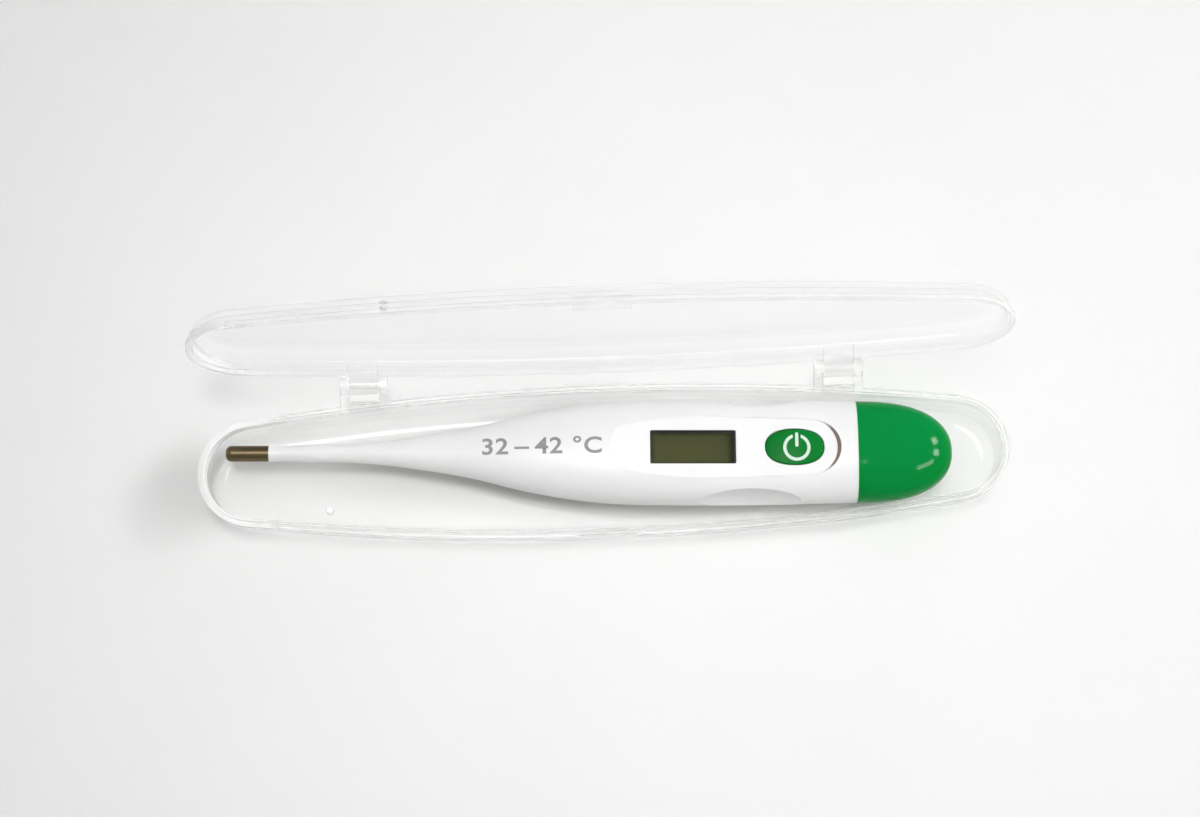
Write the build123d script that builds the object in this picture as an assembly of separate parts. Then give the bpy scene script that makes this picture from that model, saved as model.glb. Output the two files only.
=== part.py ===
"""Digital stick thermometer lying in its open, hinged storage case.

Row frame, in millimetres: the origin is the centre of the case's underside, +X runs along
the case towards the battery cap, +Y towards the hinge and +Z up. The thermometer is drawn
in its own frame (x along its axis, x = 0 where the battery cap meets the housing, z = 0 on
the axis) and is laid in the case by in_case().
"""
from build123d import *

import os
from math import radians, sin, tan

os.makedirs("parts", exist_ok=True)

# ---- thermometer: driving dimensions ---------------------------------------------------
TIP_LENGTH = 7.6
TIP_RADIUS = 1.4
NECK_END = -103.7          # where the metal tip meets the plastic neck
TIP_END = NECK_END - TIP_LENGTH
CAP_LENGTH = 17.05
CAP_HALF_WIDTH = 9.12
CAP_HALF_HEIGHT = 5.05
JOIN_FULLNESS = 2.4        # fullness of the section where cap and housing meet
# station, half width, half height, fullness (2 is an ellipse, more is squarer)
HOUSING_SECTIONS = [
    (NECK_END, 1.52, 1.52, 2.00),
    (-98.2, 1.54, 1.53, 2.00),
    (-92.8, 1.60, 1.56, 2.00),
    (-87.3, 1.75, 1.67, 2.00),
    (-81.9, 2.29, 2.00, 2.03),
    (-76.4, 3.05, 2.43, 2.09),
    (-71.0, 3.93, 2.93, 2.14),
    (-65.5, 5.09, 3.51, 2.21),
    (-60.0, 6.52, 4.06, 2.29),
    (-54.6, 7.64, 4.48, 2.38),
    (-49.1, 8.51, 4.81, 2.50),
    (-43.7, 9.07, 5.02, 2.60),
    (-38.2, 9.29, 5.14, 2.69),
    (-32.7, 9.37, 5.19, 2.75),
    (-27.3, 9.41, 5.20, 2.78),
    (-21.8, 9.40, 5.20, 2.80),
    (-16.4, 9.37, 5.19, 2.77),
    (-10.9, 9.29, 5.13, 2.63),
    (-5.5, 9.18, 5.06, 2.50),
    (0.0, CAP_HALF_WIDTH - 0.07, CAP_HALF_HEIGHT - 0.05, JOIN_FULLNESS),
]
CAVITY_SECTIONS = [
    (-58.0, 4.60, 2.80, 2.4),
    (-50.0, 6.50, 3.50, 2.4),
    (-42.0, 7.30, 3.75, 2.4),
    (-34.0, 7.40, 3.80, 2.4),
    (-26.0, 7.20, 3.78, 2.4),
    (-17.0, 6.90, 3.60, 2.4),
    (-8.5, 6.75, 3.30, 2.4),
    (0.0, 6.55, 2.85, 2.4),
]
MOUTH_SECTIONS = [(-2.0, 6.35, 2.62, 2.4), (4.8, 6.15, 2.55, 2.4)]
LEAD_BORE_RADIUS = 0.8
GRIP_RADIUS = 8.0          # finger scoops in the upper half of the two sides
GRIP_LENGTHENED = 1.9     # a scoop is a ball drawn out along the thermometer
GRIP_CENTRE = (-18.6, 15.3, 3.6)
PANEL_LEFT = (-37.7, 5.8)  # centre and radius of the panel's two round ends
PANEL_RIGHT = (-8.45, 5.3)
PANEL_HINGE = (-43.0, 4.88)  # the panel's flat floor passes this x and height
PANEL_TILT = 0.66          # degrees: the floor sinks towards the battery cap
WINDOW_SIZE = (15.1, 6.0)
WINDOW_CORNER = 0.28
WINDOW_X = -29.0
WINDOW_TOP = 4.64
LENS_THICKNESS = 1.0
LENS_GAP = 0.03
BUTTON_X = -11.15
BUTTON_HALF_LENGTH = 5.15
BUTTON_HALF_WIDTH = 3.2
ICON_SHIFT = 0.35          # the sign sits nearer the battery cap than the button's middle
BUTTON_FULLNESS = 2.3
BUTTON_GAP = 0.12
BUTTON_TOP = 4.86
BUTTON_CROWN = 24.0        # radius of the button's domed top
BUTTON_FOOT = 0.2          # the plunger's end, which travels 0.5 mm down to the snap dome
SPIGOT_LENGTH = 4.1        # the cap is free of it after 4.4 mm of travel
SEAL_X = 2.7

# ---- thermometer: inner parts ----------------------------------------------------------
BOARD_TOP = -0.8
BOARD_THICKNESS = 0.8
BOARD_FRONT = -45.0
BOARD_BACK = 3.6
BOARD_WIDTH = 10.4
LCD_SIZE = (17.0, 6.6, 1.1)
LCD_BOTTOM = 2.15
LCD_FRAME_WALL = 0.5
BUZZER_X = -14.0
BUZZER_Z = -2.8
CELL_RADIUS = 3.95
CELL_HEIGHT = 3.6
CELL_X = 8.7
CELL_BOTTOM = -1.75
LEAD_RADIUS = 0.13

# ---- storage case ----------------------------------------------------------------------
CASE_HALF_LENGTH = 71.4
CASE_HALF_WIDTH = 13.6
CASE_END_RADIUS = 9.5      # the plan is an oval of four arcs, small ones round the ends
CASE_WALL = 0.9
CASE_FLANGE = 0.4          # how far the rim stands proud of the wall
CASE_FLANGE_HEIGHT = 1.1
CASE_FLOOR = 1.2
LID_FLOOR = 1.0
CASE_DRAFT = 0.05          # wall lean, mm per mm of depth
CASE_CORNER = 3.0
RIM_Z = 9.8
LID_DEPTH = 4.8
LID_GAP = 0.15             # between the two rims when the case is shut
LIP_HEIGHT = 0.6
LIP_GAP = 0.12
HINGE_OFFSET = 1.5         # hinge axis behind the rim's widest point
HINGE_X = 42.0
KNUCKLE_RADIUS = 1.6
PIN_RADIUS = 0.8
PIN_GAP = 0.07
KNUCKLE_HALF_WIDTH = 2.6
CHEEK_INNER = 2.75
CHEEK_OUTER = 4.25
LID_OPEN = 101.5           # degrees from closed, where the hinge meets its stop
HEEL_Y = (12.15, 13.7)     # the lid's stops, between its knuckles and the base's rim
HEEL_Z = (RIM_Z - 1.05, RIM_Z - 0.1)
TAB_HALF_WIDTH = 5.0
TAB_DROP = 1.3             # how far the lid's thumb tab reaches down over the base
WEB_ROOT = 10.2            # the hinge webs start here, inside the wall
CRADLE_GAP = 0.08
BASE_GATE = (-49.1, -5.4)  # the moulding gates' small stubs, inside base and lid
LID_GATE = (-37.0, -7.1)
GATE_RADIUS = 0.55
GATE_HEIGHT = 0.3
CRADLES = [(-8.0, 6.5, 3.0), (30.0, 6.5, 3.0)]  # x, half width, top

# ---- how the thermometer lies in the case ----------------------------------------------
AXIS_HEIGHT = 7.05
JOIN_X = 44.5
JOIN_Y = 0.35
YAW = -2.0

HINGE_Y = CASE_HALF_WIDTH + HINGE_OFFSET
AXIS_PLANE_X = (0, 1, 0)   # section planes: local x across the thermometer


def rounded_section(half_width, half_height, fullness, plane):
    """A closed smooth outline of four cubic curves: an ellipse at 2, squarer above it."""
    reach = (8 * 2 ** (-1 / fullness) - 4) / 3
    w, h = half_width, half_height
    quarters = []
    for sx, sy in ((1, 1), (-1, 1), (-1, -1), (1, -1)):
        side, crown = (sx * w, 0), (0, sy * h)
        handles = (sx * w, sy * reach * h), (sx * reach * w, sy * h)
        points = [side, *handles, crown] if sx * sy > 0 else [crown, *reversed(handles), side]
        quarters.append(Bezier(*points))
    return plane * make_face(quarters)


def across(x):
    """The section plane at x: its own x runs across the thermometer and its y up."""
    return Plane(origin=(x, 0, 0), x_dir=AXIS_PLANE_X, z_dir=(1, 0, 0))


def body_of_sections(sections):
    return loft([rounded_section(w, h, n, across(x)) for x, w, h, n in sections])


def box(x0, x1, y0, y1, z0, z1):
    """A box from its six faces."""
    size = (x1 - x0, y1 - y0, z1 - z0)
    return Pos((x0 + x1) / 2, (y0 + y1) / 2, (z0 + z1) / 2) * Box(*size)


def disc(x, y, z0, z1, radius):
    return Pos(x, y, (z0 + z1) / 2) * Cylinder(radius, z1 - z0)


def rod(x0, x1, radius, y=0.0, z=0.0):
    """A cylinder along X."""
    return Pos((x0 + x1) / 2, y, z) * (Rot(0, 90, 0) * Cylinder(radius, x1 - x0))


def prism(sketch, z0, z1):
    return Pos(0, 0, z0) * extrude(sketch, z1 - z0)


def panel_tilted(shape):
    """Turns a level piece with the panel, which sinks towards the battery cap."""
    x, z = PANEL_HINGE
    return shape.rotate(Axis((x, 0, z), (0, 1, 0)), PANEL_TILT)


def dome(x, top, radius):
    """A sphere that touches the height top over x; its poles lie on the sides."""
    return Pos(x, 0, top - radius) * (Rot(90, 0, 0) * Sphere(radius))


def button_outline(grow=0.0):
    plane = Plane(origin=(BUTTON_X, 0, 0))
    return rounded_section(
        BUTTON_HALF_LENGTH + grow, BUTTON_HALF_WIDTH + grow, BUTTON_FULLNESS, plane
    )


# ---- thermometer pieces ----------------------------------------------------------------
def spigot_sections(shrink):
    return [
        (-1.0, 7.42 - shrink, 3.62 - shrink, JOIN_FULLNESS),
        (SPIGOT_LENGTH, 7.15 - shrink, 3.48 - shrink, JOIN_FULLNESS),
    ]


def panel_outline(z):
    """The panel's plan at height z; its walls lean out at 45 degrees from the floor."""
    grow = z - PANEL_HINGE[1]
    ends = [Pos(x, 0) * Circle(r + grow) for x, r in (PANEL_LEFT, PANEL_RIGHT)]
    return Pos(0, 0, z) * make_hull(ends[0].edges() + ends[1].edges())


def panel_recess():
    """What the panel takes away: everything over its flat floor, inside its outline."""
    x, floor = PANEL_HINGE
    walls = loft([panel_outline(floor - 1), panel_outline(floor + 1)], ruled=True)
    return walls & panel_tilted(box(x - 5, x + 50, -9, 9, floor, floor + 4))


def grip_scoop(side):
    """A shallow hollow for a finger, high on one side."""
    x, y, z = GRIP_CENTRE
    ball = scale(Sphere(GRIP_RADIUS), by=(GRIP_LENGTHENED, 1, 1))
    return Pos(x, side * y, z) * ball


def make_housing():
    body = body_of_sections(HOUSING_SECTIONS) - panel_recess()
    for side in (1, -1):
        body -= grip_scoop(side)
    body += body_of_sections(spigot_sections(0))
    body += rod(NECK_END - 1.6, NECK_END + 0.5, TIP_RADIUS - 0.2)
    body -= body_of_sections(CAVITY_SECTIONS)
    body -= body_of_sections(MOUTH_SECTIONS)
    body -= rod(NECK_END - 2, -55, LEAD_BORE_RADIUS)
    window = Pos(WINDOW_X, 0) * RectangleRounded(*WINDOW_SIZE, WINDOW_CORNER)
    body -= prism(window, 2, 8)
    body -= prism(button_outline(BUTTON_GAP), 2, 8)
    return body - seal_ring(0.05)


def seal_ring(grow=0.0):
    """The cap's O-ring, which lies in a groove round the spigot."""
    path = rounded_section(7.02, 3.22, JOIN_FULLNESS, across(SEAL_X)).face().outer_wire()
    section = Plane(origin=path @ 0, z_dir=path % 0) * Circle(0.45 + grow)
    return sweep(section, path=path)


def make_window():
    length, width = (size - 2 * LENS_GAP for size in WINDOW_SIZE)
    outline = RectangleRounded(length, width, WINDOW_CORNER - LENS_GAP)
    top = WINDOW_TOP + (WINDOW_X - PANEL_HINGE[0]) * tan(radians(PANEL_TILT))
    slab = panel_tilted(box(-45, -15, -5, 5, top - LENS_THICKNESS, top))
    return slab & prism(Pos(WINDOW_X, 0) * outline, 2, 8)


def make_tip():
    shell = rod(TIP_END, NECK_END, TIP_RADIUS)
    shell = fillet(shell.edges().sort_by(Axis.X)[0], 1.0)
    hollow = rod(TIP_END + 0.2, NECK_END + 1, TIP_RADIUS - 0.18)
    hollow = fillet(hollow.edges().sort_by(Axis.X)[0], 0.8)
    return shell - hollow


def make_leads():
    """Two enamelled wires from the sensor bead, through the neck, to the board."""
    wires = []
    for side in (1, -1):
        points = [
            (TIP_END + 2.2, side * 0.3, 0),
            (-54.0, side * 0.3, 0),
            (-47.5, side * 1.6, BOARD_TOP + LEAD_RADIUS + 0.02),
            (-42.5, side * 1.6, BOARD_TOP + LEAD_RADIUS + 0.02),
        ]
        path = FilletPolyline(*points, radius=5.0)
        section = Plane(origin=path @ 0, z_dir=path % 0) * Circle(LEAD_RADIUS)
        wires.append(sweep(section, path=path))
    return wires


def make_bead():
    return Pos(TIP_END + 1.6, 0, 0) * Sphere(0.6)


def make_potting():
    """The resin that fills the metal tip round the sensor bead and its wires."""
    fill = rod(TIP_END + 0.25, NECK_END - 1.65, TIP_RADIUS - 0.2)
    fill = fillet(fill.edges().sort_by(Axis.X)[0], 0.7)
    fill -= make_bead()
    for wire in make_leads():
        fill -= wire
    return fill


def make_board():
    board = box(
        BOARD_FRONT, BOARD_BACK, -BOARD_WIDTH / 2, BOARD_WIDTH / 2, BOARD_TOP - BOARD_THICKNESS, BOARD_TOP
    )
    return board - box(BOARD_FRONT - 1, BOARD_FRONT + 1.2, -1, 1, -3, 0)


def make_lcd():
    length, width, height = LCD_SIZE
    return box(
        WINDOW_X - length / 2, WINDOW_X + length / 2, -width / 2, width / 2, LCD_BOTTOM, LCD_BOTTOM + height
    )


def make_lcd_frame():
    """Moulded holder that carries the display above the board."""
    length, width, height = LCD_SIZE
    wall = LCD_FRAME_WALL
    x0, x1 = WINDOW_X - length / 2 - wall, WINDOW_X + length / 2 + wall
    y1 = width / 2 + wall
    frame = box(x0, x1, -y1, y1, BOARD_TOP, LCD_BOTTOM + height)
    inset = wall - 0.05
    frame -= box(x0 + inset, x1 - inset, inset - y1, y1 - inset, LCD_BOTTOM, 4)
    return frame - box(x0 + 2 * wall, x1 - 2 * wall, 2 * wall - y1, y1 - 2 * wall, -3, 4)


def make_zebra_strips():
    """Rubber contact strips between the board and the display."""
    length, width, _ = LCD_SIZE
    strips = []
    for side in (1, -1):
        x0, x1 = WINDOW_X - length / 2 + 1.2, WINDOW_X + length / 2 - 1.2
        y = side * (width / 2 - 1.2)
        strips.append(box(x0, x1, y - 0.6, y + 0.6, BOARD_TOP, LCD_BOTTOM))
    return strips


def make_chip():
    """The bare chip's dome of black resin, under the board."""
    z = BOARD_TOP - BOARD_THICKNESS
    return dome(-31, z + 10.2, 5.6) & box(-36, -26, -5, 5, z - 2, z)


def make_small_parts():
    """Chip capacitors and resistors soldered under the board."""
    z = BOARD_TOP - BOARD_THICKNESS
    sizes = [(-41.5, 2.6, 1.6), (-41.5, -2.6, 1.6), (-24.5, 3.0, 2.0), (-22.5, -3.2, 1.2)]
    return [box(x - w / 2, x + w / 2, y - 0.5, y + 0.5, z - 0.55, z) for x, y, w in sizes]


def make_buzzer():
    """Piezo sounder: a brass plate with its ceramic disc."""
    plate = disc(BUZZER_X, 0, BUZZER_Z, BUZZER_Z + 0.2, 4.0)
    ceramic = disc(BUZZER_X, 0, BUZZER_Z + 0.2, BUZZER_Z + 0.4, 2.9)
    return [plate, ceramic]


def make_buzzer_springs():
    """Two small coil posts that press the sounder and feed it from the board."""
    z = BOARD_TOP - BOARD_THICKNESS
    return [disc(BUZZER_X + dx, 0, BUZZER_Z + top, z, 0.4) for dx, top in ((-3.4, 0.2), (1.4, 0.4))]


def make_dome():
    """Snap dome of the power switch, on the board."""
    snap = dome(BUTTON_X, BOARD_TOP + 0.4, 10.7) - dome(BUTTON_X, BOARD_TOP + 0.25, 10.7)
    return snap & disc(BUTTON_X, 0, BOARD_TOP, 2, 2.9)


def make_button():
    """Soft power button: a low dome, a flange that stays inside and a plunger."""
    key = prism(button_outline(0), 2.9, 6) & dome(BUTTON_X, BUTTON_TOP, BUTTON_CROWN)
    key = fillet(key.faces().sort_by(Axis.Z)[-1].edges(), 0.3)
    flange = prism(button_outline(0.7), 2.4, 2.9)
    plunger = disc(BUTTON_X, 0, BUTTON_FOOT, 2.4, 1.2)
    return key + flange + plunger - make_icon()


def make_icon():
    """The on-off sign inlaid in the button: an open ring and a bar."""
    ring = Circle(2.4) - Circle(1.84) - Pos(0, 2) * Rectangle(1.4, 2)
    bar = Pos(0, 1.4) * RectangleRounded(0.56, 2.6, 0.27)
    depth = prism(Pos(BUTTON_X + ICON_SHIFT, -0.15) * (ring + bar), 4.3, 6)
    return depth & dome(BUTTON_X, BUTTON_TOP, BUTTON_CROWN)


def cap_section(s, length, half_width, half_height):
    """The battery cap's section at the share s of its length."""
    width = half_width * (1 - s**2.6) ** (1 / 2.2)
    height = half_height * (1 - s**3) ** (1 / 2.4)
    return rounded_section(width, height, JOIN_FULLNESS, across(s * length))


def cap_solid(length, half_width, half_height):
    shares = (0, 0.12, 0.24, 0.36, 0.48, 0.6, 0.71, 0.8, 0.88, 0.94, 0.98, 0.996)
    sections = [cap_section(s, length, half_width, half_height) for s in shares]
    return loft(sections + [Vertex(length, 0, 0)])


def make_cap():
    hollow = cap_solid(CAP_LENGTH - 1.35, CAP_HALF_WIDTH - 1.25, CAP_HALF_HEIGHT - 1.25)
    mouth = rounded_section(CAP_HALF_WIDTH - 1.25, CAP_HALF_HEIGHT - 1.25, JOIN_FULLNESS, across(-0.5))
    return cap_solid(CAP_LENGTH, CAP_HALF_WIDTH, CAP_HALF_HEIGHT) - hollow - extrude(mouth, 0.5)


def make_cell():
    cell = disc(CELL_X, 0, CELL_BOTTOM, CELL_BOTTOM + CELL_HEIGHT, CELL_RADIUS)
    return fillet(cell.edges(), 0.25)


def make_tray():
    """Battery tray on the board's end: it holds the cell in a round well."""
    bottom, top = CELL_BOTTOM - 0.45, 1.2
    well = disc(CELL_X, 0, bottom, top, CELL_RADIUS + 0.75)
    neck = box(1.2, CELL_X, -3.6, 3.6, bottom, 0.9)
    tray = well + neck
    tray -= disc(CELL_X, 0, CELL_BOTTOM - 0.02, 3, CELL_RADIUS + 0.1)
    return tray - box(0, BOARD_BACK + 0.05, -5.3, 5.3, BOARD_TOP - BOARD_THICKNESS - 0.02, BOARD_TOP + 0.02)


def make_negative_contact():
    """Flat leaf that runs from under the board to the underside of the cell."""
    z = BOARD_TOP - BOARD_THICKNESS
    strip = box(-4.0, 1.15, -0.9, 0.9, z - 0.2, z)
    return strip


def make_positive_contact():
    """Bent leaf that presses on the top of the cell."""
    top = CELL_BOTTOM + CELL_HEIGHT
    points = [(-3.6, BOARD_TOP), (0.4, BOARD_TOP), (0.4, top + 0.02), (7.4, top + 0.02)]
    line = FilletPolyline(*[(x, 0, z) for x, z in points], radius=0.5)
    start = Plane(origin=line @ 0, x_dir=(0, 1, 0), z_dir=line % 0)
    return sweep(start * Rectangle(2.4, 0.2, align=(Align.CENTER, Align.MIN)), path=line)


def in_case(shape):
    """Lays a thermometer piece in the case."""
    return Pos(JOIN_X, JOIN_Y, AXIS_HEIGHT) * (Rot(0, 0, YAW) * shape)


# ---- case pieces -----------------------------------------------------------------------
def oval(inset, z):
    """The case's plan at height z, drawn inset from the rim's outer edge."""
    length, width = CASE_HALF_LENGTH - inset, CASE_HALF_WIDTH - inset
    end = CASE_END_RADIUS - inset
    side = ((length - end) ** 2 + width**2 - end**2) / (2 * (width - end))
    drop = side - width
    reach = side / (side - end)
    touch = Vector((length - end) * reach, drop * (reach - 1))
    arcs = []
    for sy in (1, -1):
        left, right = (-touch.X, sy * touch.Y), (touch.X, sy * touch.Y)
        arcs.append(ThreePointArc(left, (0, sy * width), right))
    for sx in (1, -1):
        low, high = (sx * touch.X, -touch.Y), (sx * touch.X, touch.Y)
        arcs.append(ThreePointArc(low, (sx * length, 0), high))
    return Pos(0, 0, z) * make_face(arcs)


def tub(inset, rim, end, corner):
    """A solid dish from its rim plane to its end plane, with leaning sides and a round foot."""
    lean = abs(end - rim) * CASE_DRAFT
    dish = loft([oval(inset, rim), oval(inset + lean, end)], ruled=True)
    foot = dish.edges().filter_by_position(Axis.Z, end - 0.01, end + 0.01)
    return fillet(foot, corner)


def shell(rim, end, floor, extras):
    """A half of the case: end is its flat outer face, and extras stay outside its hollow."""
    step = 1 if end > rim else -1
    half = tub(CASE_FLANGE, rim, end, CASE_CORNER)
    half += loft([oval(0, rim), oval(0, rim + step * CASE_FLANGE_HEIGHT)], ruled=True)
    for extra in extras:
        half += extra
    return half - tub(CASE_FLANGE + CASE_WALL, rim, end - step * floor, CASE_CORNER - CASE_WALL)


def in_hinge_planes(profile, x0, x1):
    """Extrudes a (y, z) profile along X from x0 to x1."""
    plane = Plane(origin=(x0, 0, 0), x_dir=(0, 1, 0), z_dir=(1, 0, 0))
    return extrude(plane * profile, x1 - x0, dir=(1, 0, 0))


def lip(inner, outer, height):
    ring = oval(outer, 0) - oval(inner, 0)
    return prism(ring, RIM_Z - LID_GAP, RIM_Z + height)


def make_case_base():
    web = Polygon(
        (HINGE_Y, RIM_Z - KNUCKLE_RADIUS),
        (HINGE_Y, RIM_Z - 0.1),
        (WEB_ROOT, RIM_Z - 0.1),
        (WEB_ROOT, RIM_Z - 4.2),
        align=None,
    )
    cheek = web + Pos(HINGE_Y, RIM_Z) * Circle(KNUCKLE_RADIUS)
    hinges = []
    for middle in (HINGE_X, -HINGE_X):
        for x0 in (middle - CHEEK_OUTER, middle + CHEEK_INNER):
            hinges.append(in_hinge_planes(cheek, x0, x0 + CHEEK_OUTER - CHEEK_INNER))
        hinges.append(rod(middle - CHEEK_INNER - 0.5, middle + CHEEK_INNER + 0.5, PIN_RADIUS, HINGE_Y, RIM_Z))
    base = shell(RIM_Z - LID_GAP / 2, 0, CASE_FLOOR, hinges)
    base += lip(CASE_FLANGE + CASE_WALL, CASE_FLANGE + CASE_WALL - 0.45, LIP_HEIGHT)
    notch = box(
        -TAB_HALF_WIDTH - 0.2,
        TAB_HALF_WIDTH + 0.2,
        -CASE_HALF_WIDTH - 1,
        -CASE_HALF_WIDTH + CASE_FLANGE,
        RIM_Z - TAB_DROP - 0.2,
        RIM_Z,
    )
    base -= notch
    base += disc(*BASE_GATE, CASE_FLOOR - 0.2, CASE_FLOOR + GATE_HEIGHT, GATE_RADIUS)
    for rib in cradles():
        base += rib
    return base


def cradles():
    """Cross ribs on the floor that carry the housing and the neck."""
    laid = in_case(body_of_sections(HOUSING_SECTIONS))
    lowered = Pos(0, 0, -CRADLE_GAP) * laid
    ribs = []
    for x, half_width, top in CRADLES:
        y = JOIN_Y + (x - JOIN_X) * sin(radians(YAW))
        rib = box(x - 0.6, x + 0.6, y - half_width, y + half_width, CASE_FLOOR - 0.4, top)
        ribs.append(rib - lowered - laid)
    return ribs


def make_case_lid_closed():
    web = Polygon(
        (HINGE_Y, RIM_Z + KNUCKLE_RADIUS),
        (HINGE_Y, RIM_Z + 0.1),
        (WEB_ROOT, RIM_Z + 0.1),
        (WEB_ROOT, RIM_Z + 3.4),
        align=None,
    )
    knuckle = web + Pos(HINGE_Y, RIM_Z) * Circle(KNUCKLE_RADIUS)
    knuckle -= Pos(HINGE_Y, RIM_Z) * Circle(PIN_RADIUS + PIN_GAP)
    extras = [
        in_hinge_planes(knuckle, middle - KNUCKLE_HALF_WIDTH, middle + KNUCKLE_HALF_WIDTH)
        for middle in (HINGE_X, -HINGE_X)
    ]
    tab = box(
        -TAB_HALF_WIDTH,
        TAB_HALF_WIDTH,
        -CASE_HALF_WIDTH - 0.5,
        -CASE_HALF_WIDTH + CASE_FLANGE - 0.2,
        RIM_Z - TAB_DROP,
        RIM_Z + CASE_FLANGE_HEIGHT,
    )
    extras.append(fillet(tab.edges().filter_by(Axis.Y), 0.5))
    lid = shell(RIM_Z + LID_GAP / 2, RIM_Z + LID_DEPTH, LID_FLOOR, extras)
    ceiling = RIM_Z + LID_DEPTH - LID_FLOOR
    lid += disc(*LID_GATE, ceiling - GATE_HEIGHT, ceiling + 0.2, GATE_RADIUS)
    rebate = CASE_FLANGE + CASE_WALL - 0.45 - LIP_GAP
    return lid - lip(CASE_FLANGE + CASE_WALL + 0.5, rebate, LIP_HEIGHT + LIP_GAP)


def make_case_lid():
    """The lid stood open on its heels, which meet the back of the base's rim."""
    lid = make_case_lid_closed().rotate(Axis((0, HINGE_Y, RIM_Z), (1, 0, 0)), -LID_OPEN)
    for middle in (HINGE_X, -HINGE_X):
        x0, x1 = middle - KNUCKLE_HALF_WIDTH, middle + KNUCKLE_HALF_WIDTH
        lid += box(x0, x1, *HEEL_Y, *HEEL_Z)
    return lid


def save(name, shape):
    """Writes one node. A list is a group of separate solids."""
    solids = shape if isinstance(shape, list) else shape.solids()
    node = Compound(children=[s.solid() if not isinstance(s, Solid) else s for s in solids])
    export_step(node, f"parts/{name}.step")


def main():
    thermometer = {
        "housing": make_housing,
        "probe_tip": make_tip,
        "tip_potting": make_potting,
        "sensor_bead": make_bead,
        "sensor_leads": make_leads,
        "display_window": make_window,
        "lcd_panel": make_lcd,
        "lcd_frame": make_lcd_frame,
        "contact_strips": make_zebra_strips,
        "circuit_board": make_board,
        "chip_dome": make_chip,
        "small_components": make_small_parts,
        "buzzer": make_buzzer,
        "buzzer_springs": make_buzzer_springs,
        "switch_dome": make_dome,
        "power_button": make_button,
        "power_icon": make_icon,
        "battery_tray": make_tray,
        "battery_cell": make_cell,
        "battery_contact_positive": make_positive_contact,
        "battery_contact_negative": make_negative_contact,
        "cap_seal": seal_ring,
        "battery_cap": make_cap,
    }
    for name, make in thermometer.items():
        made = make()
        pieces = made if isinstance(made, list) else made.solids()
        save(name, [in_case(piece) for piece in pieces])
    save("case_base", make_case_base())
    save("case_lid", make_case_lid())


main()
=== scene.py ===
import math

import bmesh
import bpy
from mathutils import Matrix, Vector
from mathutils.bvhtree import BVHTree


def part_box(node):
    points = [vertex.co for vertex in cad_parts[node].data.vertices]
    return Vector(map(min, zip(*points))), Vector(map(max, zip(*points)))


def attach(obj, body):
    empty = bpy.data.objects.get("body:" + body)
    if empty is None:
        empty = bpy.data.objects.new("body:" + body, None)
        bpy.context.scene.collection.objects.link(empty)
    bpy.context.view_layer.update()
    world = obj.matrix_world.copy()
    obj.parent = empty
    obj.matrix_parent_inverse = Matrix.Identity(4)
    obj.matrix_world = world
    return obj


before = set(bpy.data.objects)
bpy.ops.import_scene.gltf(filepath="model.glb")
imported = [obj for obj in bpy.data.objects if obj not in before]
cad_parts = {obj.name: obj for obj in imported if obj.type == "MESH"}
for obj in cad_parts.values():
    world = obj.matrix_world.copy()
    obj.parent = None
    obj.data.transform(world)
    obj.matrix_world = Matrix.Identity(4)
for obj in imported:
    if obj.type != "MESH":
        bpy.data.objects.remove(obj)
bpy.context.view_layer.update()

MM = 0.001
# The thermometer's own frame, as the CAD lays it in the case: x along its axis from the
# battery cap's joint, z up from its axis.
JOIN = Vector((44.5, 0.35, 7.05))
YAW = math.radians(-2.0)
HINGE = Vector((0.0, 15.1, 9.8))  # on the hinge axis, in the rims' plane
LID_OPEN = 101.5  # degrees from shut

# The case, in mm of the row frame, or from the hinge axis or the rims' plane where it says so.
BASE_GATE = (-49.1, -5.4)  # the moulding gates' stubs, x and y in the closed case
LID_GATE = (-37.0, -7.1)
GATE_RADIUS = (0.5, 0.75)  # white out to the first, clear from the second
CRADLE_RIBS = (-8.0, 30.0)  # the x of each rib's middle
RIB_HALF = (1.4, 1.6)  # from that middle: matt within the first, clear past the second
LUGS_FROM = (-1.4, -1.0)  # y from the hinge axis: clear before the first, matt past the second
RIM_BAND = (0.9, 1.5)  # from the rims' plane: painted highlight within the first, none past the second
TIP_END_RIM = (-69.0, -56.0)  # where the rim's painted highlight grows towards the tip end
TIP_END_REACH = (-71.0, -62.0)  # where it also reaches down the wall
TIP_END_SHADOW = (-66.0, -52.0)  # where the walls cast their deeper shadow

# The painted shade on the crescent end wall of the housing's sunk panel, in the thermometer's own
# frame.
CRESCENT_HEIGHT = (4.2, 4.3)
CRESCENT_FROM = (-7.0, -4.5)
CRESCENT_SHADE_COLOUR = (0.30, 0.235, 0.205, 1)

# The print on the housing and the black foil round the display, a painted shade at its edges, in
# the same frame.
PRINT_LEFT, PRINT_WIDTH, PRINT_Y, PRINT_SQUASH = -66.0, 21.0, 0.45, 0.86
PRINT_LIFT = 0.02
FOIL_X, FOIL_TOP, FOIL_THICK = -29.0, 3.58, 0.2
FOIL_OUTER, FOIL_INNER = (8.1, 3.6), (7.2, 2.72)  # half lengths and half widths
CORNERS = ((-1, -1), (1, -1), (1, 1), (-1, 1))
LCD_HALF = (0.0075, 0.003, 0.003)  # metres: the half size the display's painted edge shadow is measured by
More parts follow.
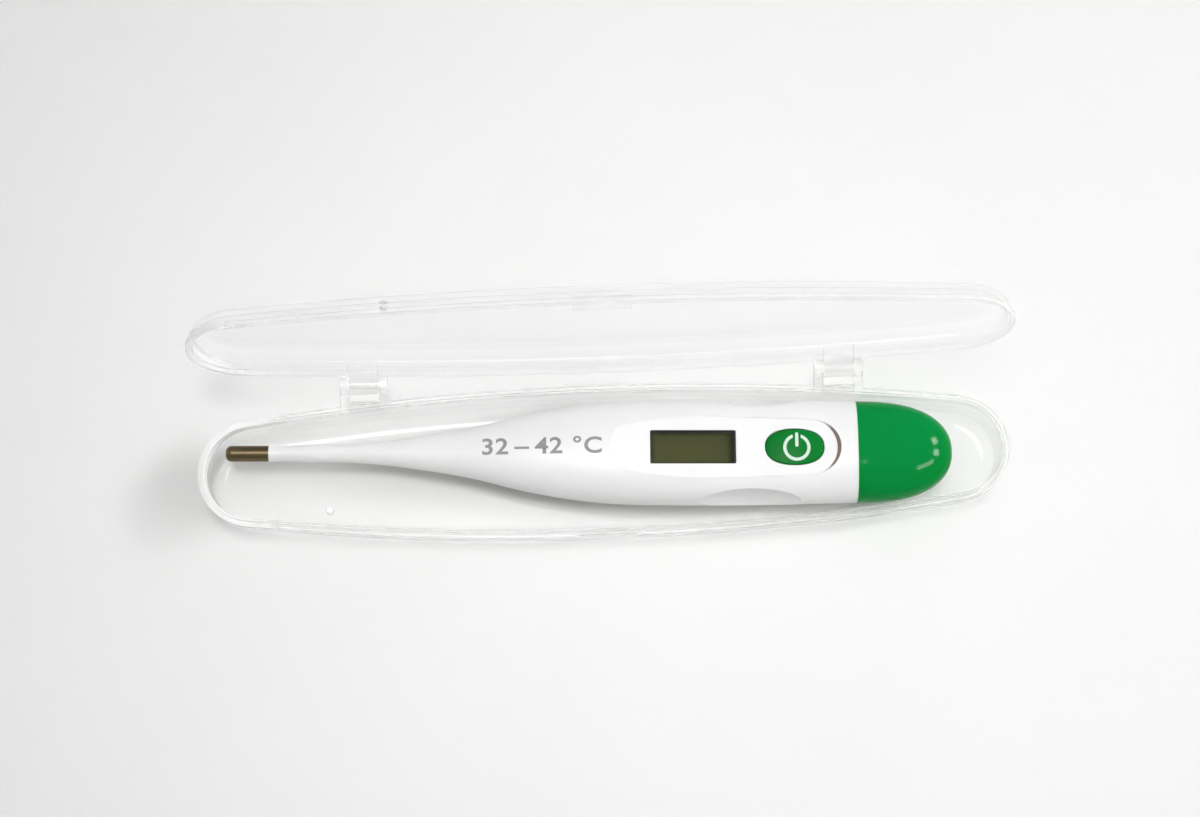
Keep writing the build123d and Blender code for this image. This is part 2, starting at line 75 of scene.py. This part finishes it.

# Stage, light and camera, in metres, watts and degrees; its target, lens and sensor in mm.
FLOOR_SIZE, FLOOR_DROP = 3.0, 0.0001
SKY_STRENGTH = 0.385
HORIZON = (0.92, 0.92, 0.915, 1)
PANE_SIZE, PANE_WATTS = (0.085, 0.13), 0.9
PANE_X, PANE_Z = 0.57, 0.450
PANE_Y = {"pane_upper": 0.220, "pane_lower": 0.070}
OVERHEAD_SPREAD = 20.0
CAMERA_AZIMUTH, CAMERA_ELEVATION, CAMERA_ROLL = -5.0, 76.5, 2.778
CAMERA_TARGET = Vector((-0.41, 10.0, 7.0))
CAMERA_DISTANCE, CAMERA_LENS, CAMERA_SENSOR = 0.480, 81.09, 36.0


def laid(x, y, z):
    """A point of the thermometer's own frame, in mm, as a point of the row frame, in metres."""
    c, s = math.cos(YAW), math.sin(YAW)
    return Vector((JOIN.x + x * c - y * s, JOIN.y + x * s + y * c, JOIN.z + z)) * MM


# ---- node helpers ----------------------------------------------------------------------
class Tree:
    """A material's node tree, with short calls for what these materials share."""

    def __init__(self, name):
        self.mat = bpy.data.materials.new(name)
        self.mat.use_nodes = True
        self.nodes = self.mat.node_tree.nodes
        self.links = self.mat.node_tree.links
        self.bsdf = self.nodes["Principled BSDF"]
        self.out = self.nodes["Material Output"]

    def set(self, **values):
        for key, value in values.items():
            self.bsdf.inputs[key.replace("_", " ")].default_value = value
        return self

    def add(self, kind, **props):
        node = self.nodes.new(kind)
        for key, value in props.items():
            setattr(node, key, value)
        return node

    def link(self, a, b):
        self.links.new(a, b)

    def coords(self, turn=0.0, scale=(1, 1, 1)):
        """Object coordinates in mm, turned about Z so that x runs along a piece."""
        source = self.add("ShaderNodeTexCoord")
        mapping = self.add("ShaderNodeMapping")
        mapping.vector_type = "POINT"
        mapping.inputs["Rotation"].default_value = (0, 0, turn)
        mapping.inputs["Scale"].default_value = [1000 * s for s in scale]
        self.link(source.outputs["Object"], mapping.inputs["Vector"])
        return mapping.outputs["Vector"]

    def noise(self, vector, scale, detail=2.0, rough=0.5):
        node = self.add("ShaderNodeTexNoise")
        node.inputs["Scale"].default_value = scale
        node.inputs["Detail"].default_value = detail
        node.inputs["Roughness"].default_value = rough
        self.link(vector, node.inputs["Vector"])
        return node.outputs["Fac"]

    def ramp(self, fac, stops):
        node = self.add("ShaderNodeValToRGB")
        ramp = node.color_ramp
        while len(ramp.elements) < len(stops):
            ramp.elements.new(0.5)
        for element, (at, colour) in zip(ramp.elements, stops):
            element.position = at
            element.color = (*colour, 1)
        self.link(fac, node.inputs["Fac"])
        return node.outputs["Color"]

    def spread(self, fac, low, high, start=0.0, end=1.0):
        node = self.add("ShaderNodeMapRange")
        node.inputs["From Min"].default_value = start
        node.inputs["From Max"].default_value = end
        node.inputs["To Min"].default_value = low
        node.inputs["To Max"].default_value = high
        self.link(fac, node.inputs["Value"])
        return node.outputs["Result"]

    def fade(self, distance, low, high, span):
        """low to high as a distance in metres crosses the span, given in mm."""
        return self.spread(distance, low, high, span[0] * MM, span[1] * MM)

    def math(self, op, a, b=None, clamp=False):
        node = self.add("ShaderNodeMath", operation=op, use_clamp=clamp)
        for socket, value in zip(node.inputs, (a, b)):
            if value is None:
                continue
            if isinstance(value, (int, float)):
                socket.default_value = value
            else:
                self.link(value, socket)
        return node.outputs[0]

    def bump(self, height, strength, distance):
        node = self.add("ShaderNodeBump")
        node.inputs["Strength"].default_value = strength
        node.inputs["Distance"].default_value = distance * MM
        self.link(height, node.inputs["Height"])
        self.link(node.outputs["Normal"], self.bsdf.inputs["Normal"])
        return node


def moulded_tree(name, low, high, rough, grain, gloss=0.5, soft=0.0):
    """Moulded plastic: faint flow variation in colour, uneven gloss and a fine grain."""
    t = Tree(name)
    mm = t.coords()
    flow = t.noise(mm, 0.09, 3)
    t.colour = t.ramp(flow, [(0.3, low), (0.7, high)])
    t.link(t.colour, t.bsdf.inputs["Base Color"])
    worn = t.noise(mm, 0.7, 4, 0.6)
    t.link(t.spread(worn, rough[0], rough[1], 0.3, 0.7), t.bsdf.inputs["Roughness"])
    fine = t.noise(mm, grain, 3, 0.6)
    wave = t.noise(mm, 0.16, 2)
    t.bump(t.math("ADD", fine, t.math("MULTIPLY", wave, 3.0)), 0.25, 0.02)
    t.set(IOR=1.5, Specular_IOR_Level=gloss)
    if soft:
        t.set(Subsurface_Weight=soft, Subsurface_Radius=(1.0, 1.0, 1.0), Subsurface_Scale=0.0012)
    return t


def moulded(*args, **kwargs):
    return moulded_tree(*args, **kwargs).mat


def housing_plastic():
    """White, with painted shade in a thin brownish line on the panel's deep end wall."""
    low, high = (0.855, 0.855, 0.855), (0.88, 0.88, 0.875)
    t = moulded_tree("white_abs", low, high, (0.28, 0.38), 2.4, soft=0.15)
    source = t.add("ShaderNodeTexCoord")
    local = t.add("ShaderNodeMapping", vector_type="TEXTURE")
    local.inputs["Location"].default_value = JOIN * MM
    local.inputs["Rotation"].default_value = (0, 0, YAW)
    t.link(source.outputs["Object"], local.inputs["Vector"])
    place = t.add("ShaderNodeSeparateXYZ")
    t.link(local.outputs["Vector"], place.inputs["Vector"])
    normal = t.add("ShaderNodeSeparateXYZ")
    t.link(source.outputs["Normal"], normal.inputs["Vector"])
    # Painted shade: the sunk panel's end wall, which faces away from the light, is darkened to a
    # brownish line.
    wall = t.spread(normal.outputs["X"], 0.0, 1.0, -0.28, -0.55)
    raised = t.fade(place.outputs["Z"], 0.0, 1.0, CRESCENT_HEIGHT)
    past = t.fade(place.outputs["X"], 0.0, 1.0, CRESCENT_FROM)
    painted_shade = t.math("MULTIPLY", t.math("MULTIPLY", wall, raised), past)
    mix = t.add("ShaderNodeMix", data_type="RGBA")
    t.link(painted_shade, mix.inputs["Factor"])
    t.link(t.colour, mix.inputs["A"])
    mix.inputs["B"].default_value = CRESCENT_SHADE_COLOUR
    t.link(mix.outputs["Result"], t.bsdf.inputs["Base Color"])
    return t.mat


def metal(name, low, high, rough, turn=0.0, stretch=(0.05, 4, 4)):
    """Sheet metal with drawn or turned lines along one direction."""
    t = Tree(name)
    lines = t.noise(t.coords(turn, stretch), 2.0, 4, 0.65)
    t.link(t.ramp(lines, [(0.3, low), (0.7, high)]), t.bsdf.inputs["Base Color"])
    t.link(t.spread(lines, rough[0], rough[1], 0.3, 0.7), t.bsdf.inputs["Roughness"])
    t.bump(lines, 0.3, 0.01)
    t.set(Metallic=1.0)
    return t.mat


def clear(name, through, polish, edge, milk, mirror=0.04):
    """Clear plastic seen straight through, whitish where a wall is seen along its length.

    through: what each surface lets by. polish: roughness from clean to scuffed.
    edge, milk: how white it goes edge-on and face-on. mirror: its gloss face-on.
    """
    t = Tree(name)
    mm = t.coords()
    haze = t.noise(mm, 0.10, 3)
    scuff = t.noise(mm, 1.6, 5, 0.7)
    wave = t.noise(mm, 0.12, 2)
    t.set(IOR=1.49, Roughness=0.45)
    t.bsdf.inputs["Base Color"].default_value = (0.985, 0.985, 0.98, 1)
    bump = t.bump(t.math("ADD", t.math("MULTIPLY", wave, 3.0), scuff), 0.12, 0.03)
    weight = t.add("ShaderNodeLayerWeight")
    weight.inputs["Blend"].default_value = 0.5
    facing = weight.outputs["Facing"]
    pane = t.add("ShaderNodeBsdfTransparent")
    pane.inputs["Color"].default_value = (*through, 1)
    shade = t.add("ShaderNodeBsdfTransparent")
    shade.inputs["Color"].default_value = (0.985, 0.985, 0.98, 1)
    milky = t.math("MULTIPLY", t.spread(haze, 0.6, 1.4, 0.3, 0.7), milk)
    side = t.math("MULTIPLY", t.math("POWER", facing, 3.0), edge)
    t.milk = t.math("ADD", milky, side, clamp=True)
    t.body = t.add("ShaderNodeMixShader")
    t.link(t.milk, t.body.inputs["Fac"])
    t.link(pane.outputs["BSDF"], t.body.inputs[1])
    t.link(t.bsdf.outputs["BSDF"], t.body.inputs[2])
    gloss = t.add("ShaderNodeBsdfGlossy")
    t.link(t.spread(scuff, polish[0], polish[1], 0.35, 0.7), gloss.inputs["Roughness"])
    t.link(bump.outputs["Normal"], gloss.inputs["Normal"])
    shine = t.math("MULTIPLY", t.math("POWER", facing, 5.0), 0.2)
    mix = t.add("ShaderNodeMixShader")
    t.link(t.math("ADD", shine, mirror, clamp=True), mix.inputs["Fac"])
    t.link(t.body.outputs["Shader"], mix.inputs[1])
    t.link(gloss.outputs["BSDF"], mix.inputs[2])
    path = t.add("ShaderNodeLightPath")
    t.surface = t.add("ShaderNodeMixShader")
    t.link(path.outputs["Is Shadow Ray"], t.surface.inputs["Fac"])
    t.link(mix.outputs["Shader"], t.surface.inputs[1])
    t.link(shade.outputs["BSDF"], t.surface.inputs[2])
    t.shade = shade
    t.link(t.surface.outputs["Shader"], t.out.inputs["Surface"])
    return t


def frosted_ribs(t, place, endwise):
    """The cradle ribs' two broad faces, which face along the case and are moulded matt."""
    broad = t.spread(endwise, 0.0, 0.5, 0.6, 0.75)
    on_rib = None
    for middle in CRADLE_RIBS:
        off = t.math("ABSOLUTE", t.math("SUBTRACT", place.outputs["X"], middle * MM))
        here = t.fade(off, 1.0, 0.0, RIB_HALF)
        on_rib = here if on_rib is None else t.math("MAXIMUM", on_rib, here)
    return t.math("MULTIPLY", broad, on_rib)


def case_plastic(name, through, edge, milk, rim_highlight, face_shade, end_shade, gate, mirror, turn=0.0):
    """A half of the case: clear, with a painted highlight whitening its rim, where the thick
    plastic gathers light.

    rim_highlight: how white a painted highlight makes the rim along its sides and at its tip
    end, reaching down the wall. face_shade, end_shade: what the walls and that end let by to their
    shadow.
    gate: where the moulding gate's whitish stub stands, in the closed case.
    turn: how far this half stands open at rest, so that both are found in its own frame.
    """
    t = clear(name, through, (0.04, 0.14), edge, milk, mirror)
    source = t.add("ShaderNodeTexCoord")
    normal = t.add("ShaderNodeSeparateXYZ")
    t.link(source.outputs["Normal"], normal.inputs["Vector"])
    endwise = t.math("ABSOLUTE", normal.outputs["X"])
    frame_in = t.add("ShaderNodeMapping", vector_type="TEXTURE")
    frame_in.inputs["Location"].default_value = HINGE * MM
    frame_in.inputs["Rotation"].default_value = (math.radians(turn), 0, 0)
    t.link(source.outputs["Object"], frame_in.inputs["Vector"])
    split = t.add("ShaderNodeSeparateXYZ")
    t.link(frame_in.outputs["Vector"], split.inputs["Vector"])
    tipward = t.fade(split.outputs["X"], 1.0, 0.0, TIP_END_SHADOW)
    shading = t.ramp(t.math("MULTIPLY", endwise, tipward), [(0.15, face_shade), (0.8, end_shade)])
    t.link(shading, t.shade.inputs["Color"])
    # Painted highlight: the rim is whitened near the rims' plane, most at the tip end, where the
    # thick plastic gathers light.
    off_rim = t.math("ABSOLUTE", split.outputs["Z"])
    lit = t.fade(split.outputs["X"], rim_highlight[1], rim_highlight[0], TIP_END_RIM)
    reach = t.fade(split.outputs["X"], 2.0, 1.0, TIP_END_REACH)
    depth = t.math("DIVIDE", off_rim, reach)
    rim_highlight_mask = t.math("MULTIPLY", t.fade(depth, 1.0, 0.0, RIM_BAND), lit)
    dx = t.math("SUBTRACT", split.outputs["X"], gate[0] * MM)
    dy = t.math("SUBTRACT", split.outputs["Y"], (gate[1] - HINGE.y) * MM)
    far = t.math("SQRT", t.math("ADD", t.math("POWER", dx, 2.0), t.math("POWER", dy, 2.0)))
    stub = t.fade(far, 0.85, 0.0, GATE_RADIUS)
    lugs = t.fade(split.outputs["Y"], 0.0, 0.28, LUGS_FROM)
    textured = t.math("MAXIMUM", lugs, frosted_ribs(t, split, endwise))
    # The rim's painted highlight joins the gate's stub and the matt ribs and lugs, which are the
    # plastic's own.
    white = t.math("MAXIMUM", t.math("MAXIMUM", rim_highlight_mask, stub), textured)
    t.link(t.math("ADD", t.milk, white, clamp=True), t.body.inputs["Fac"])
    return t.mat


def lens_plastic():
    """The display's lens: clear on its flat faces, and blacked on its sides as painted shade at the
    window's edges.
    """
    t = clear("lens_clear", (0.97, 0.97, 0.96), (0.02, 0.07), 0.1, 0.002, 0.003)
    source = t.add("ShaderNodeTexCoord")
    split = t.add("ShaderNodeSeparateXYZ")
    t.link(source.outputs["Normal"], split.inputs["Vector"])
    # Painted shade: the lens's sideways faces go near-black, for the shade at the window's edges.
    side = t.spread(t.math("ABSOLUTE", split.outputs["Z"]), 1.0, 0.0, 0.4, 0.6)
    painted_edge_shade = t.add("ShaderNodeBsdfPrincipled")
    painted_edge_shade.inputs["Base Color"].default_value = (0.022, 0.021, 0.016, 1)
    painted_edge_shade.inputs["Roughness"].default_value = 0.5
    mix = t.add("ShaderNodeMixShader")
    t.link(side, mix.inputs["Fac"])
    t.link(t.surface.outputs["Shader"], mix.inputs[1])
    t.link(painted_edge_shade.outputs["BSDF"], mix.inputs[2])
    t.link(mix.outputs["Shader"], t.out.inputs["Surface"])
    return t.mat


def lcd_glass():
    """An unlit display: dark olive, a little greener in the middle, and darkened towards its edges
    by painted shadow of the window frame.
    """
    t = Tree("lcd_olive")
    lo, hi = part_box("lcd_panel")
    source = t.add("ShaderNodeTexCoord")
    shift = t.add("ShaderNodeMapping", vector_type="TEXTURE")
    shift.inputs["Location"].default_value = (lo + hi) / 2
    shift.inputs["Rotation"].default_value = (0, 0, YAW)
    shift.inputs["Scale"].default_value = LCD_HALF
    t.link(source.outputs["Object"], shift.inputs["Vector"])
    split = t.add("ShaderNodeSeparateXYZ")
    t.link(shift.outputs["Vector"], split.inputs["Vector"])
    ax = t.math("ABSOLUTE", split.outputs["X"])
    ay = t.math("ABSOLUTE", split.outputs["Y"])
    # Painted shadow: the window frame's shade, darkening the display towards its edges.
    frame_shadow_x = t.spread(ax, 0.0, 1.0, 0.86, 1.02)
    frame_shadow_y = t.spread(ay, 0.0, 1.0, 0.72, 1.05)
    edge = t.math("MAXIMUM", frame_shadow_x, frame_shadow_y)
    cloud = t.noise(t.coords(YAW, (0.5, 1, 1)), 0.12, 3)
    fine = t.noise(t.coords(YAW, (6, 0.4, 1)), 1.0, 2)
    tone = t.math("ADD", t.math("MULTIPLY", cloud, 0.8), t.math("MULTIPLY", fine, 0.2))
    olive = t.ramp(tone, [(0.3, (0.069, 0.073, 0.027)), (0.7, (0.092, 0.096, 0.038))])
    mix = t.add("ShaderNodeMix", data_type="RGBA")
    t.link(edge, mix.inputs["Factor"])
    t.link(olive, mix.inputs["A"])
    mix.inputs["B"].default_value = (0.022, 0.020, 0.012, 1)
    t.link(mix.outputs["Result"], t.bsdf.inputs["Base Color"])
    t.link(t.spread(cloud, 0.5, 0.6), t.bsdf.inputs["Roughness"])
    t.set(IOR=1.5, Specular_IOR_Level=0.05)
    return t.mat


WHITE = housing_plastic()
INNER = moulded("inner_white", (0.70, 0.70, 0.68), (0.78, 0.78, 0.76), (0.5, 0.6), 2.4)
GREEN = moulded(
    "green_abs", (0.0, 0.225, 0.034), (0.0, 0.262, 0.056), (0.05, 0.09), 2.0, gloss=0.12
)
GREEN_SOFT = moulded(
    "green_key", (0.0, 0.170, 0.018), (0.0, 0.215, 0.030), (0.30, 0.38), 3.0, gloss=0.1
)
ICON = moulded("icon_white", (0.60, 0.76, 0.66), (0.68, 0.83, 0.73), (0.4, 0.5), 3.0)
RUBBER = moulded("soft_rubber", (0.03, 0.03, 0.03), (0.05, 0.05, 0.05), (0.5, 0.65), 3.0)
RESIN = moulded("cast_resin", (0.012, 0.012, 0.012), (0.03, 0.03, 0.03), (0.25, 0.35), 1.5)
BOARD = moulded("solder_mask", (0.01, 0.12, 0.05), (0.02, 0.17, 0.07), (0.3, 0.4), 2.0)
CERAMIC = moulded("fired_ceramic", (0.36, 0.30, 0.22), (0.48, 0.40, 0.30), (0.5, 0.6), 3.0)
INK = moulded("grey_ink", (0.27, 0.27, 0.28), (0.33, 0.33, 0.34), (0.5, 0.6), 3.0)
TIP = metal(
    "tip_steel", (0.118, 0.088, 0.046), (0.19, 0.148, 0.088), (0.36, 0.44), YAW, (0.05, 1.2, 1.2)
)
STEEL = metal("contact_steel", (0.55, 0.54, 0.52), (0.75, 0.74, 0.72), (0.2, 0.35))
BRASS = metal("contact_brass", (0.55, 0.40, 0.16), (0.75, 0.58, 0.28), (0.2, 0.35))
COPPER = metal("copper_wire", (0.5, 0.22, 0.10), (0.68, 0.34, 0.18), (0.25, 0.4))
CASE = case_plastic(
    "case_clear",
    through=(0.991, 0.992, 0.988),
    edge=0.28,
    milk=0.012,
    rim_highlight=(0.13, 1.0),
    face_shade=(0.993, 0.993, 0.990),
    end_shade=(0.35, 0.345, 0.325),
    gate=BASE_GATE,
    mirror=0.015,
)
LID = case_plastic(
    "lid_clear",
    through=(0.999, 0.9995, 0.9985),
    edge=0.20,
    milk=0.003,
    rim_highlight=(0.11, 0.35),
    face_shade=(0.996, 0.996, 0.994),
    end_shade=(0.85, 0.85, 0.84),
    gate=LID_GATE,
    mirror=0.010,
    turn=-LID_OPEN,
)
LENS = lens_plastic()
LCD = lcd_glass()

LOOKS = {
    "case_base": CASE,
    "case_lid": LID,
    "housing": WHITE,
    "probe_tip": TIP,
    "tip_potting": RESIN,
    "sensor_bead": RESIN,
    "sensor_leads": COPPER,
    "display_window": LENS,
    "lcd_panel": LCD,
    "lcd_frame": INNER,
    "contact_strips": RUBBER,
    "circuit_board": BOARD,
    "chip_dome": RESIN,
    "small_components": CERAMIC,
    "buzzer": BRASS,
    "buzzer_springs": STEEL,
    "switch_dome": STEEL,
    "power_button": GREEN_SOFT,
    "power_icon": ICON,
    "battery_tray": INNER,
    "battery_cell": STEEL,
    "battery_contact_positive": STEEL,
    "battery_contact_negative": STEEL,
    "cap_seal": RUBBER,
    "battery_cap": GREEN,
}
for node, look in LOOKS.items():
    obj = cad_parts[node]
    if not obj.data.materials:
        obj.data.materials.append(None)
    for s in obj.material_slots:
        s.material = look


def surface_tree(node):
    """A ray tree of a CAD node's mesh, for laying thin pieces on it."""
    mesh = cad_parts[node].data
    points = [v.co for v in mesh.vertices]
    return BVHTree.FromPolygons(points, [tuple(p.vertices) for p in mesh.polygons])


def piece(name, mesh, look, body):
    obj = bpy.data.objects.new(name, mesh)
    bpy.context.scene.collection.objects.link(obj)
    obj.data.materials.append(look)
    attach(obj, body)
    return obj


# ---- thin pieces the CAD leaves out --------------------------------------------------
def lay_flat(bm, node, lift):
    """Drops a flat mesh straight down on a CAD node, lift mm over its surface."""
    tree = surface_tree(node)
    for v in bm.verts:
        start = Vector((v.co.x, v.co.y, 0.05))
        hit = tree.ray_cast(start, Vector((0, 0, -1)))[0]
        if hit is not None:
            v.co.z = hit.z + lift * MM


def range_print():
    """The grey print on the housing: the range it measures."""
    curve = bpy.data.curves.new("range_text", "FONT")
    curve.body = "32\u2009\u2013\u200942 \u00b0C"
    curve.space_character = 1.06
    curve.size = 1.0
    curve.resolution_u = 6
    curve.offset = 0.018
    holder = bpy.data.objects.new("range_text", curve)
    bpy.context.scene.collection.objects.link(holder)
    bpy.context.view_layer.update()
    raw = bpy.data.meshes.new_from_object(holder)
    bpy.data.objects.remove(holder)
    bm = bmesh.new()
    bm.from_mesh(raw)
    bmesh.ops.triangulate(bm, faces=bm.faces)
    for _ in range(2):
        bmesh.ops.subdivide_edges(bm, edges=[e for e in bm.edges if e.calc_length() > 0.12], cuts=1)
        bmesh.ops.triangulate(bm, faces=bm.faces)
    xs = [v.co.x for v in bm.verts]
    ys = [v.co.y for v in bm.verts]
    left, width, middle = min(xs), max(xs) - min(xs), (min(ys) + max(ys)) / 2
    scale = PRINT_WIDTH / width
    for v in bm.verts:
        x = PRINT_LEFT + (v.co.x - left) * scale
        v.co = laid(x, PRINT_Y + (v.co.y - middle) * scale * PRINT_SQUASH, 0)
    lay_flat(bm, "housing", PRINT_LIFT)
    mesh = bpy.data.meshes.new("range_print")
    bm.to_mesh(mesh)
    bm.free()
    piece("range_print", mesh, INK, "thermometer")


def display_shade_foil():
    """Black foil frame between the display and its lens: painted shade round the display's edges.
    """
    bm = bmesh.new()
    rings = []
    for z in (FOIL_TOP - FOIL_THICK, FOIL_TOP):
        for half_x, half_y in (FOIL_OUTER, FOIL_INNER):
            points = [laid(FOIL_X + sx * half_x, sy * half_y, z) for sx, sy in CORNERS]
            rings.append([bm.verts.new(point) for point in points])
    low_out, low_in, top_out, top_in = rings
    for i in range(4):
        j = (i + 1) % 4
        bm.faces.new((top_out[i], top_out[j], top_in[j], top_in[i]))
        bm.faces.new((low_out[j], low_out[i], low_in[i], low_in[j]))
        bm.faces.new((low_out[i], low_out[j], top_out[j], top_out[i]))
        bm.faces.new((low_in[j], low_in[i], top_in[i], top_in[j]))
    bmesh.ops.recalc_face_normals(bm, faces=bm.faces)
    mesh = bpy.data.meshes.new("display_shade_foil")
    bm.to_mesh(mesh)
    bm.free()
    piece("display_shade_foil", mesh, RUBBER, "thermometer")


range_print()
display_shade_foil()


# ---- stage, light and camera -----------------------------------------------------------
def make_floor():
    bm = bmesh.new()
    bmesh.ops.create_grid(bm, x_segments=8, y_segments=8, size=FLOOR_SIZE)
    mesh = bpy.data.meshes.new("floor")
    bm.to_mesh(mesh)
    bm.free()
    floor = bpy.data.objects.new("floor", mesh)
    floor.location.z = -FLOOR_DROP
    bpy.context.scene.collection.objects.link(floor)
    t = Tree("pale_floor")
    mm = t.coords()
    cloud = t.noise(mm, 0.02, 3)
    pale = t.ramp(cloud, [(0.3, (0.89, 0.89, 0.886)), (0.7, (0.91, 0.91, 0.907))])
    t.link(pale, t.bsdf.inputs["Base Color"])
    t.set(Roughness=0.9)
    mesh.materials.append(t.mat)


def area(name, at, aim, size, watts):
    data = bpy.data.lights.new(name, "AREA")
    data.shape = "RECTANGLE"
    data.size, data.size_y = size
    data.energy = watts
    lamp = bpy.data.objects.new(name, data)
    lamp.location = at
    lamp.rotation_euler = (Vector(at) - Vector(aim)).to_track_quat("Z", "Y").to_euler()
    bpy.context.scene.collection.objects.link(lamp)
    return lamp


def make_world():
    """A pale studio: bright overhead and dimmer towards the horizon."""
    world = bpy.data.worlds.new("studio")
    world.use_nodes = True
    nodes, links = world.node_tree.nodes, world.node_tree.links
    sky = nodes["Background"]
    sky.inputs["Strength"].default_value = SKY_STRENGTH
    source = nodes.new("ShaderNodeTexCoord")
    split = nodes.new("ShaderNodeSeparateXYZ")
    ramp = nodes.new("ShaderNodeValToRGB")
    ramp.color_ramp.elements[0].position = 0.0
    ramp.color_ramp.elements[0].color = HORIZON
    ramp.color_ramp.elements[1].position = 0.75
    ramp.color_ramp.elements[1].color = (1.0, 1.0, 1.0, 1)
    links.new(source.outputs["Generated"], split.inputs["Vector"])
    links.new(split.outputs["Z"], ramp.inputs["Fac"])
    links.new(ramp.outputs["Color"], sky.inputs["Color"])
    bpy.context.scene.world = world


def make_camera():
    azimuth, elevation = math.radians(CAMERA_AZIMUTH), math.radians(CAMERA_ELEVATION)
    roll = math.radians(CAMERA_ROLL)
    away = Vector(
        (
            math.sin(azimuth) * math.cos(elevation),
            -math.cos(azimuth) * math.cos(elevation),
            math.sin(elevation),
        )
    )
    right = (-away).cross(Vector((0, 0, 1))).normalized()
    up = right.cross(-away)
    turned = math.cos(roll) * right + math.sin(roll) * up
    top = -math.sin(roll) * right + math.cos(roll) * up
    data = bpy.data.cameras.new("camera")
    data.sensor_width = CAMERA_SENSOR
    data.lens = CAMERA_LENS
    data.clip_start = 0.01
    data.clip_end = 20
    cam = bpy.data.objects.new("camera", data)
    spin = Matrix((turned, top, away)).transposed().to_4x4()
    cam.matrix_world = Matrix.Translation(CAMERA_TARGET * MM + away * CAMERA_DISTANCE) @ spin
    bpy.context.scene.collection.objects.link(cam)
    bpy.context.scene.camera = cam


make_floor()
make_world()
make_camera()
for pane, y in PANE_Y.items():
    area(pane, (PANE_X, y, PANE_Z), (0, 0, 0), PANE_SIZE, PANE_WATTS)
area("tube", (0.48, -0.11, 0.56), (0.46, -0.05, 0), (0.28, 0.09), 1.15)
overhead = area("overhead", (-0.03, 0.05, 1.0), (-0.012, 0, 0), (0.3, 0.3), 0.100)
overhead.data.spread = math.radians(OVERHEAD_SPREAD)
bpy.context.scene.view_settings.view_transform = "Standard"
